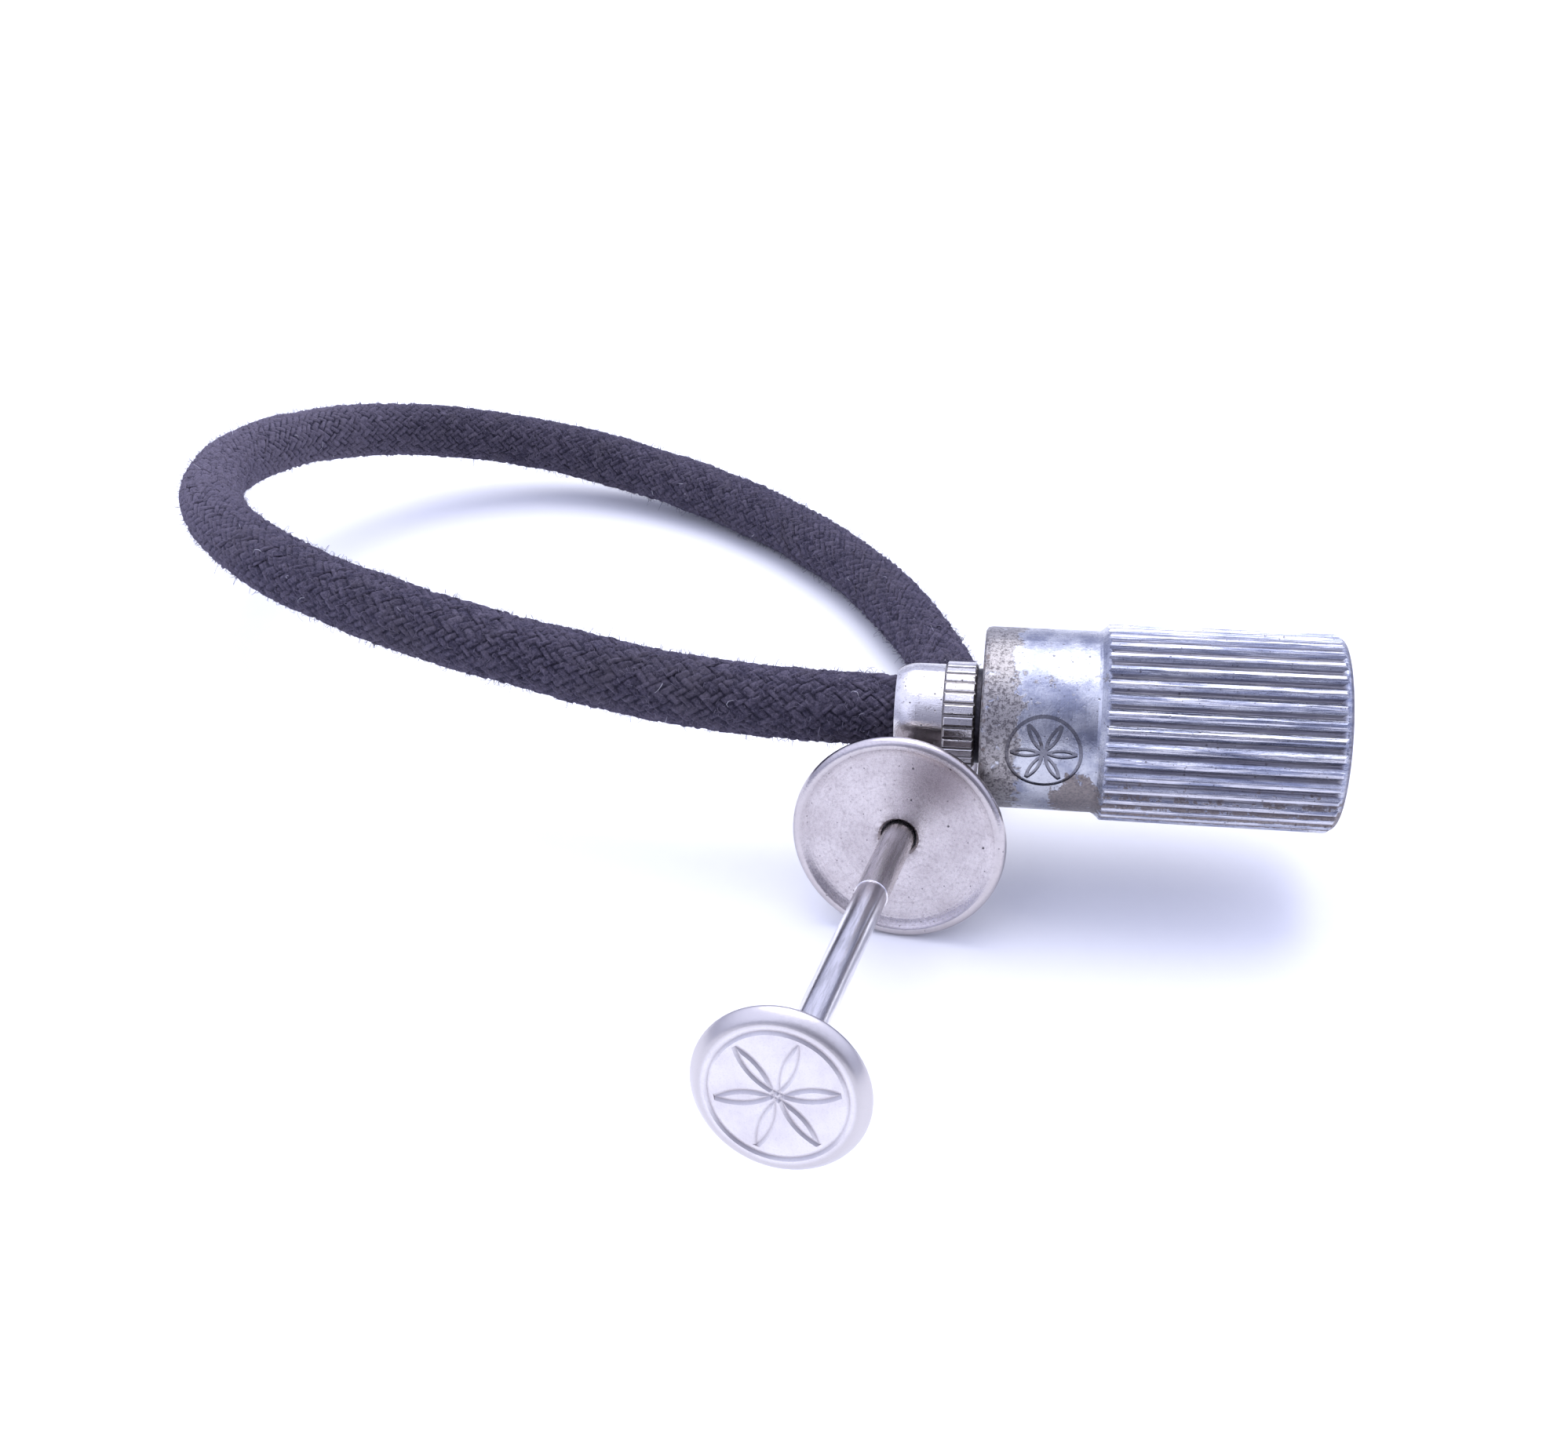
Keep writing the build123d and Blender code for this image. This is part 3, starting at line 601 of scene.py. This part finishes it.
def disc_material():
    """Satin nickel finger disc: faint turning rings, pits, a painted reflection of the rod, dirt
    with painted shade round the hole, polished rim.
    """
    sh = Shader("disc_nickel")
    where, _, flat, away = handle_axes(sh)
    stain = sh.noise(where, 0.40, 4, 0.6)
    mottle = sh.noise(where, 4.2, 5, 0.78)
    fine = sh.noise(where, 4.8, 4, 0.80)
    pit = sh.spots(where, 1.3, 0.13, 0.22)
    dot = sh.spots(where, 3.6, 0.20, 0.14)
    ring_noise = sh.noise(sh.combine(away, 0.0, 0.0), 5.0, 3, 0.7)
    colour = sh.mix(sh.ramp(stain, 0.36, 0.66), (0.61, 0.565, 0.56), (0.51, 0.465, 0.465))
    colour = sh.stain(colour, sh.ramp(fine, 0.50, 0.64), 0.48, (0.35, 0.31, 0.315))
    colour = sh.stain(colour, sh.ramp(ring_noise, 0.50, 0.62), 0.22, (0.38, 0.34, 0.34))
    colour = sh.stain(colour, sh.ramp(mottle, 0.56, 0.66), 0.30, (0.28, 0.245, 0.25))
    # a painted reflection of the rod: a brownish dark zone above the hole, towards the bell
    clear = sh.vector("LENGTH", sh.vector("SUBTRACT", where, DISC_REFLECTION_AT))
    painted_rod_reflection = sh.ramp(sh.math("ADD", clear, sh.math("MULTIPLY", stain, 1.6)), 4.6, 1.4)
    colour = sh.stain(colour, painted_rod_reflection, 0.80, (0.19, 0.155, 0.165))
    colour = sh.stain(colour, dot, 0.70, (0.15, 0.13, 0.14))
    colour = sh.stain(colour, pit, 0.85, (0.05, 0.045, 0.05))
    # dirt and painted shade round the hole, where the rod goes through the disc
    hole = sh.ramp(away, *DISC_HOLE)
    grime_and_hole_shade = sh.math("MULTIPLY", hole, sh.ramp(mottle, 0.38, 0.58))
    colour = sh.stain(colour, grime_and_hole_shade, 0.6, (0.12, 0.10, 0.095))
    rim = sh.ramp(away, *DISC_RIM)
    colour = sh.stain(colour, rim, 0.55, (0.50, 0.465, 0.455))
    rough = sh.blend(sh.ramp(mottle, 0.3, 0.7), 0.17, 0.34)
    rough = sh.blend(rim, rough, 0.12)
    rough = sh.blend(dot, rough, 0.6)
    sunk = sh.math("ADD", sh.math("MULTIPLY", pit, 2.0), dot)
    normal = sh.bump(ring_noise, 0.00005, 0.35)
    normal = sh.bump(sh.math("SUBTRACT", fine, sunk), 0.000025, 0.45, normal)
    return sh.surface(Base_Color=colour, Metallic=1.0, Roughness=rough, Normal=normal,
                      Anisotropic=0.45, Tangent=round_tangent(sh, flat, FORWARD))


def button_material():
    """Satin thumb button, smoother than the disc, with its engraving softly tarnished."""
    sh = Shader("button_nickel")
    where, along, _, away = handle_axes(sh)
    stain = sh.noise(where, 0.5, 4, 0.6)
    fine = sh.noise(where, 12.0, 4, 0.6)
    sunk = sh.ramp(along, BUTTON_FACE - 0.01, BUTTON_FACE - 0.10)
    inside = sh.math("MULTIPLY", sunk, sh.ramp(away, FIELD_R + 0.10, FIELD_R))
    colour = sh.mix(sh.ramp(stain, 0.35, 0.68), (0.72, 0.69, 0.68), (0.64, 0.605, 0.60))
    colour = sh.stain(colour, sh.ramp(fine, 0.5, 0.7), 0.18, (0.40, 0.38, 0.42))
    colour = sh.stain(colour, inside, 0.42, (0.30, 0.275, 0.29))
    colour = sh.stain(colour, sh.ramp(away, FIELD_R, FIELD_R + 0.25), 0.85, (0.52, 0.49, 0.475))
    rough = sh.blend(sh.ramp(fine, 0.3, 0.7), 0.30, 0.42)
    rough = sh.blend(sh.ramp(away, FIELD_R + 0.15, FIELD_R + 0.55), rough, 0.30)
    return sh.surface(Base_Color=colour, Metallic=1.0, Roughness=rough,
                      Normal=sh.bump(fine, 0.000015, 0.35))


def rod_material(name, base, dark, roughness, ring_from, ring_to):
    """Drawn rod: lengthwise wear, and a bright worn ring between two distances."""
    sh = Shader(name)
    where, along, flat, _ = handle_axes(sh)
    drawn = sh.vector("SCALE", tuple(FORWARD), scale=sh.math("MULTIPLY", along, 0.25))
    streak = sh.noise(sh.vector("ADD", sh.vector("SCALE", flat, scale=3.0), drawn), 1.6, 4, 0.6)
    mottle = sh.noise(where, 4.5, 4, 0.7)
    fine = sh.noise(where, 14.0, 3, 0.6)
    dot = sh.spots(where, 4.0, 0.22, 0.22)
    colour = sh.mix(sh.ramp(streak, 0.38, 0.66), base, dark)
    colour = sh.stain(colour, sh.ramp(mottle, 0.60, 0.70), 0.15, tint(dark, 0.65))
    colour = sh.stain(colour, dot, 0.4, tint(dark, 0.45))
    rough = sh.blend(sh.ramp(streak, 0.3, 0.7), roughness * 0.7, roughness * 1.35)
    middle, half = (ring_from + ring_to) / 2, (ring_to - ring_from) / 2
    ragged = sh.math("MULTIPLY", sh.math("SUBTRACT", mottle, 0.5), 0.9)
    off_middle = sh.math("ABSOLUTE", sh.math("SUBTRACT", along, middle))
    ring = sh.ramp(sh.math("ADD", off_middle, ragged), half, half - 0.06)
    colour = sh.stain(colour, ring, 0.7, (0.84, 0.81, 0.82))
    rough = sh.blend(ring, rough, 0.22)
    normal = sh.bump(fine, 0.000015, 0.3)
    return sh.surface(Base_Color=colour, Metallic=1.0, Roughness=rough, Normal=normal)


def bell_material():
    """Worn plate on the bell: bluish bright metal, bare brown patches, dirt and painted shade in
    the grooves, painted glints on the crests.
    """
    sh = Shader("worn_plating")
    where = sh.position(BELL_AXIS_AT)
    x, y, z = sh.axes(where)
    away = sh.vector("LENGTH", sh.combine(0.0, y, z))
    # turning marks run round the neck, and drawn-out streaks along the knurl
    turned = sh.noise(sh.vector("MULTIPLY", where, (6.0, 0.25, 0.25)), 1.4, 3, 0.65)
    streak = sh.noise(sh.vector("MULTIPLY", where, (0.22, 3.0, 3.0)), 1.0, 4, 0.62)
    line = sh.noise(sh.vector("MULTIPLY", where, (0.30, 7.0, 7.0)), 1.0, 3, 0.6)
    ragged = sh.noise(where, 0.8, 4, 0.6)
    cloud = sh.noise(where, 0.38, 4, 0.62)
    mottle = sh.noise(where, 2.0, 5, 0.72)
    fine = sh.noise(where, 6.0, 4, 0.72)
    grit = sh.noise(where, 4.6, 4, 0.85)
    pit = sh.spots(where, 1.7, 0.15, 0.35)
    dot = sh.spots(where, 4.0, 0.22, 0.25)
    in_knurl = sh.ramp(x, SHOULDER + 0.05, SHOULDER + 0.45)
    on_neck = sh.math("SUBTRACT", 1.0, in_knurl)

    plate = sh.mix(sh.ramp(cloud, 0.38, 0.64), (0.52, 0.53, 0.56), (0.26, 0.275, 0.34))
    knurled = sh.mix(sh.ramp(streak, 0.37, 0.65), (0.50, 0.51, 0.56), (0.26, 0.28, 0.37))
    knurled = sh.stain(knurled, sh.ramp(line, 0.48, 0.62), 0.42, (0.15, 0.16, 0.22))
    colour = sh.mix(in_knurl, plate, knurled)
    colour = sh.stain(colour, sh.ramp(fine, 0.52, 0.68), 0.40, (0.15, 0.155, 0.21))
    # the neck's left end is rubbed to a grey speckle
    rubbed = sh.ramp(x, NECK_LEFT + 3.2, NECK_LEFT + 1.4)
    rubbed = sh.sway(rubbed, mottle, 1.8)
    rubbed = sh.sway(rubbed, ragged, 2.6)
    rubbed = sh.math("MULTIPLY", sh.ramp(rubbed, 0.40, 0.62), on_neck)
    speckle = sh.mix(sh.ramp(grit, 0.48, 0.57), (0.36, 0.335, 0.315), (0.10, 0.085, 0.078))
    colour = sh.stain(colour, rubbed, 0.85, speckle)
    # plating gone down to brown metal: a patch on the neck, its left rim, low on the knurl
    patch = sh.vector("LENGTH", sh.vector("MULTIPLY", sh.vector("SUBTRACT", where, PATCH_AT),
                                          (0.60, 0.40, 0.40)))
    rim_wear = sh.math("MULTIPLY", sh.ramp(x, NECK_LEFT + 1.3, NECK_LEFT + 0.2), 0.55)
    below_crest = sh.math("MULTIPLY", in_knurl, sh.ramp(away, CREST_R, CREST_R - 0.10))
    knurl_wear = sh.math("MULTIPLY", below_crest, sh.ramp(z, 2.5, -3.5))
    wear = sh.math("MAXIMUM", sh.ramp(patch, 1.6, 0.6), rim_wear)
    wear = sh.math("MAXIMUM", wear, sh.math("MULTIPLY", knurl_wear, 0.90))
    wear = sh.sway(wear, mottle, 2.0)
    wear = sh.ramp(wear, 0.64, 0.72)
    brown = sh.mix(sh.ramp(fine, 0.38, 0.62), (0.23, 0.19, 0.165), (0.135, 0.11, 0.10))
    colour = sh.stain(colour, wear, 0.85, brown)
    # dirt and painted shade in the knurl's grooves, dirt in the engraving, painted glints as bright
    # broken lines on the crests
    groove = sh.math("MULTIPLY", sh.ramp(away, CREST_R - 0.13, CREST_R - 0.26),
                     sh.ramp(away, NECK_R - 0.02, NECK_R + 0.06))
    groove = sh.math("MULTIPLY", groove, in_knurl)
    crest = sh.math("MULTIPLY", sh.ramp(away, CREST_R - 0.05, CREST_R), in_knurl)
    crest = sh.math("MULTIPLY", crest, sh.ramp(streak, 0.60, 0.44))
    engraved = sh.math("MULTIPLY", sh.ramp(away, NECK_R - 0.025, NECK_R - 0.08), on_neck)
    engraved = sh.math("MULTIPLY", engraved, sh.ramp(x, NECK_LEFT + 0.7, NECK_LEFT + 0.9))
    colour = sh.stain(colour, crest, 0.65, (0.70, 0.69, 0.72))
    colour = sh.stain(colour, groove, 0.65, (0.11, 0.095, 0.105))
    colour = sh.stain(colour, engraved, 0.70, (0.10, 0.095, 0.11))
    colour = sh.stain(colour, sh.math("MAXIMUM", pit, dot), 0.65, (0.08, 0.07, 0.075))
    rough = sh.blend(sh.ramp(mottle, 0.3, 0.7), 0.15, 0.32)
    rough = sh.blend(sh.math("MAXIMUM", wear, rubbed), rough, 0.40)
    rough = sh.blend(groove, rough, 0.45)
    normal = sh.bump(sh.math("MULTIPLY", turned, on_neck), 0.00004, 0.35)
    grain = sh.math("MULTIPLY", fine, sh.blend(in_knurl, 1.0, 0.15))
    normal = sh.bump(sh.math("SUBTRACT", grain, sh.math("MULTIPLY", pit, 1.5)), 0.00004, 0.45,
                     normal)
    normal = sh.bump(sh.math("MULTIPLY", line, in_knurl), 0.00006, 0.7, normal)
    normal = sh.bump(sh.math("MULTIPLY", grit, rubbed), 0.00005, 0.6, normal)
    normal = sh.bump(wear, 0.00003, 0.5, normal)
    return sh.surface(Base_Color=colour, Metallic=sh.blend(wear, 1.0, 0.75), Roughness=rough,
                      Normal=normal)


def plain_metal(name, base, roughness):
    """Metal of the hidden pieces, lightly mottled."""
    sh = Shader(name)
    mottle = sh.noise(sh.position(), 6.0, 4, 0.6)
    colour = sh.mix(sh.ramp(mottle, 0.35, 0.7), base, tint(base, 0.7))
    rough = sh.blend(sh.ramp(mottle, 0.3, 0.7), roughness * 0.8, roughness * 1.25)
    return sh.surface(Base_Color=colour, Metallic=1.0, Roughness=rough,
                      Normal=sh.bump(mottle, 0.00001, 0.3))


# in millimetres
BUTTON_FACE, ROD_STEP = 28.75, 7.60                  # distances along the handle's axis
DISC_HOLE, DISC_RIM = (1.80, 1.20), (6.05, 6.45)     # where the dirt and painted shade round the hole, and the polish, set in
FIELD_R = 3.75                                       # the button's engraved field
NECK_LEFT, SHOULDER = -4.70, 2.70                    # along the bell's axis
NECK_R, CREST_R = 5.80, 6.22                         # the neck, and just below the knurl's crests
DISC_REFLECTION_AT = (2.4, 0.0, 4.4)                      # centre of the painted reflection, from the centre of the disc's face
PATCH_AT = (SHOULDER - 1.3, -4.9, -2.6)              # from a point on the bell's axis
RING_GROOVE_R = 3.29                                 # bottom of the grip ring's grooves
POLISHED, TARNISH = (0.69, 0.665, 0.655), (0.24, 0.21, 0.20)
assign(bell_material(), "bell")
assign(disc_material(), "finger_disc")
assign(nickel("barrel_nickel", (0.50, 0.47, 0.50), TARNISH, roughness=0.32, pits=0.5, dirt=0.45),
       "barrel")
assign(nickel("polished_nickel", POLISHED, TARNISH, roughness=0.15, pits=0.3, dirt=0.55),
       "tip_ferrule", "handle_ferrule")
assign(nickel("ring_nickel", tint(POLISHED, 0.9), TARNISH, roughness=0.18, pits=0.4, dirt=0.55,
              groove_r=RING_GROOVE_R), "grip_ring")
assign(button_material(), "thumb_button")
assign(rod_material("worn_rod", (0.84, 0.80, 0.77), (0.52, 0.49, 0.465), 0.24,
                    ROD_STEP - 0.16, ROD_STEP + 0.3), "plunger_rod")
assign(rod_material("stem_nickel", (0.82, 0.79, 0.78), (0.60, 0.58, 0.58), 0.16,
                    ROD_STEP - 0.3, ROD_STEP + 0.14), "button_stem")
assign(plain_metal("old_brass", (0.42, 0.33, 0.19), 0.34), "spring_seat", "stop_collar",
       "wire_crimp", "thrust_washer", "guide_tube", "pin_crimp")
assign(plain_metal("blackened_steel", (0.055, 0.052, 0.06), 0.45), "swivel_shank", "guide_bush",
       "rear_washer")
assign(plain_metal("spring_steel", (0.36, 0.36, 0.39), 0.35), "return_spring", "wire_casing",
       "core_wire")
assign(plain_metal("pin_steel", (0.52, 0.52, 0.56), 0.22), "release_pin")

# ------------------------------------------------------------------ floor, light
FLOOR_HALF = 1.6
SKY_STRENGTH, SUN_STRENGTH, SUN_ANGLE = 1.65, 1.45, math.radians(50)
FRONT = Vector((0.25, -0.85, 0.42)).normalized()     # the middle of the dark front side
TO_SUN = Vector((-0.03, 0.34, 0.94))
floor = mesh_piece("floor", [(-FLOOR_HALF, -FLOOR_HALF, 0), (FLOOR_HALF, -FLOOR_HALF, 0),
                             (FLOOR_HALF, FLOOR_HALF, 0), (-FLOOR_HALF, FLOOR_HALF, 0)],
                   [(0, 1, 2, 3)], smooth=False)
floor_shader = Shader("floor_paper")
grain = floor_shader.noise(floor_shader.position(), 0.8, 3)
floor_shader.surface(Base_Color=floor_shader.mix(grain, (0.90, 0.90, 0.90), (0.92, 0.92, 0.92)),
                     Roughness=0.6, Specular_IOR_Level=0.2)
floor.data.materials.append(floor_shader.owner)

# the room is bright above, grey at the horizon and darkest on the front side
world = bpy.data.worlds.new("studio")
scene.world = world
room = Shader(owner=world)
background = room.tree.nodes["Background"]
direction = room.node("ShaderNodeTexCoord").outputs["Generated"]
upward = room.axes(direction)[2]
facing = room.vector("DOT_PRODUCT", direction, tuple(FRONT))
sky = room.mix(room.ramp(upward, 0.10, 0.72), (0.34, 0.36, 0.52), (0.80, 0.84, 1.12))
sky = room.stain(sky, room.ramp(facing, 0.74, 0.94), 0.72, (0.11, 0.11, 0.16))
room.feed(background.inputs["Color"], sky)
background.inputs["Strength"].default_value = SKY_STRENGTH

sun_data = bpy.data.lights.new("overhead", "SUN")
sun_data.energy = SUN_STRENGTH
sun_data.angle = SUN_ANGLE
sun_data.color = (1.0, 0.985, 0.965)
sun = bpy.data.objects.new("overhead", sun_data)
scene.collection.objects.link(sun)
sun.rotation_mode = "QUATERNION"
sun.rotation_quaternion = TO_SUN.to_track_quat("Z", "Y")

scene.view_settings.view_transform = "Standard"

# ------------------------------------------------------------------ pieces copied out of CAD nodes


def flexing_copy(node, name):
    """A CAD node's mesh and materials as a piece of its own, with the CAD node hidden."""
    piece = bpy.data.objects.new(name, nodes[node].data.copy())
    scene.collection.objects.link(piece)
    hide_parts(node)
    return piece


# the return spring (it closes towards its seat as the plunger goes in) as a piece of its own,
# riding with the release
spring = flexing_copy("return_spring", "spring_coil")
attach(spring, "release")
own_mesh(spring)

# The core wire is cut in two pieces: its front end, in the handle, which goes with the plunger in
# the real release, and the rest, which stays in the cable and comes round to the bell.
STILL_TO, MOVES_FROM = -20.0, -6.5                   # millimetres along the handle
HANDLE_REACH = 3.0 * MM


def in_handle(point):
    """Whether a point is by the handle's axis, in front of the place where the wire is still."""
    from_disc = point - DISC_AT
    ahead = from_disc.dot(FORWARD)
    return ahead > STILL_TO * MM and (from_disc - FORWARD * ahead).length < HANDLE_REACH


def wire_part(name, front):
    """The core wire's part in the handle, or all the rest, cut off square and closed."""
    piece = flexing_copy("core_wire", name)
    shape = bmesh.new()
    shape.from_mesh(piece.data)
    bmesh.ops.remove_doubles(shape, verts=shape.verts, dist=0.0001 * MM)
    bmesh.ops.bisect_plane(shape, geom=[*shape.verts, *shape.edges, *shape.faces],
                           plane_co=handle_point(STILL_TO), plane_no=FORWARD)
    unwanted = [face for face in shape.faces if in_handle(face.calc_center_median()) != front]
    bmesh.ops.delete(shape, geom=unwanted, context="FACES")
    bmesh.ops.holes_fill(shape, edges=[edge for edge in shape.edges if edge.is_boundary])
    shape.to_mesh(piece.data)
    shape.free()
    return piece


inner_wire = wire_part("inner_wire", front=False)
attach(inner_wire, "release")
wire_end = wire_part("wire_end", front=True)
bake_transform(wire_end)

# ------------------------------------------------------------------ riding with the release, and the CAD cover hidden
for piece in (braid, fibres):
    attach(piece, "release")
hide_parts("cloth_cover")
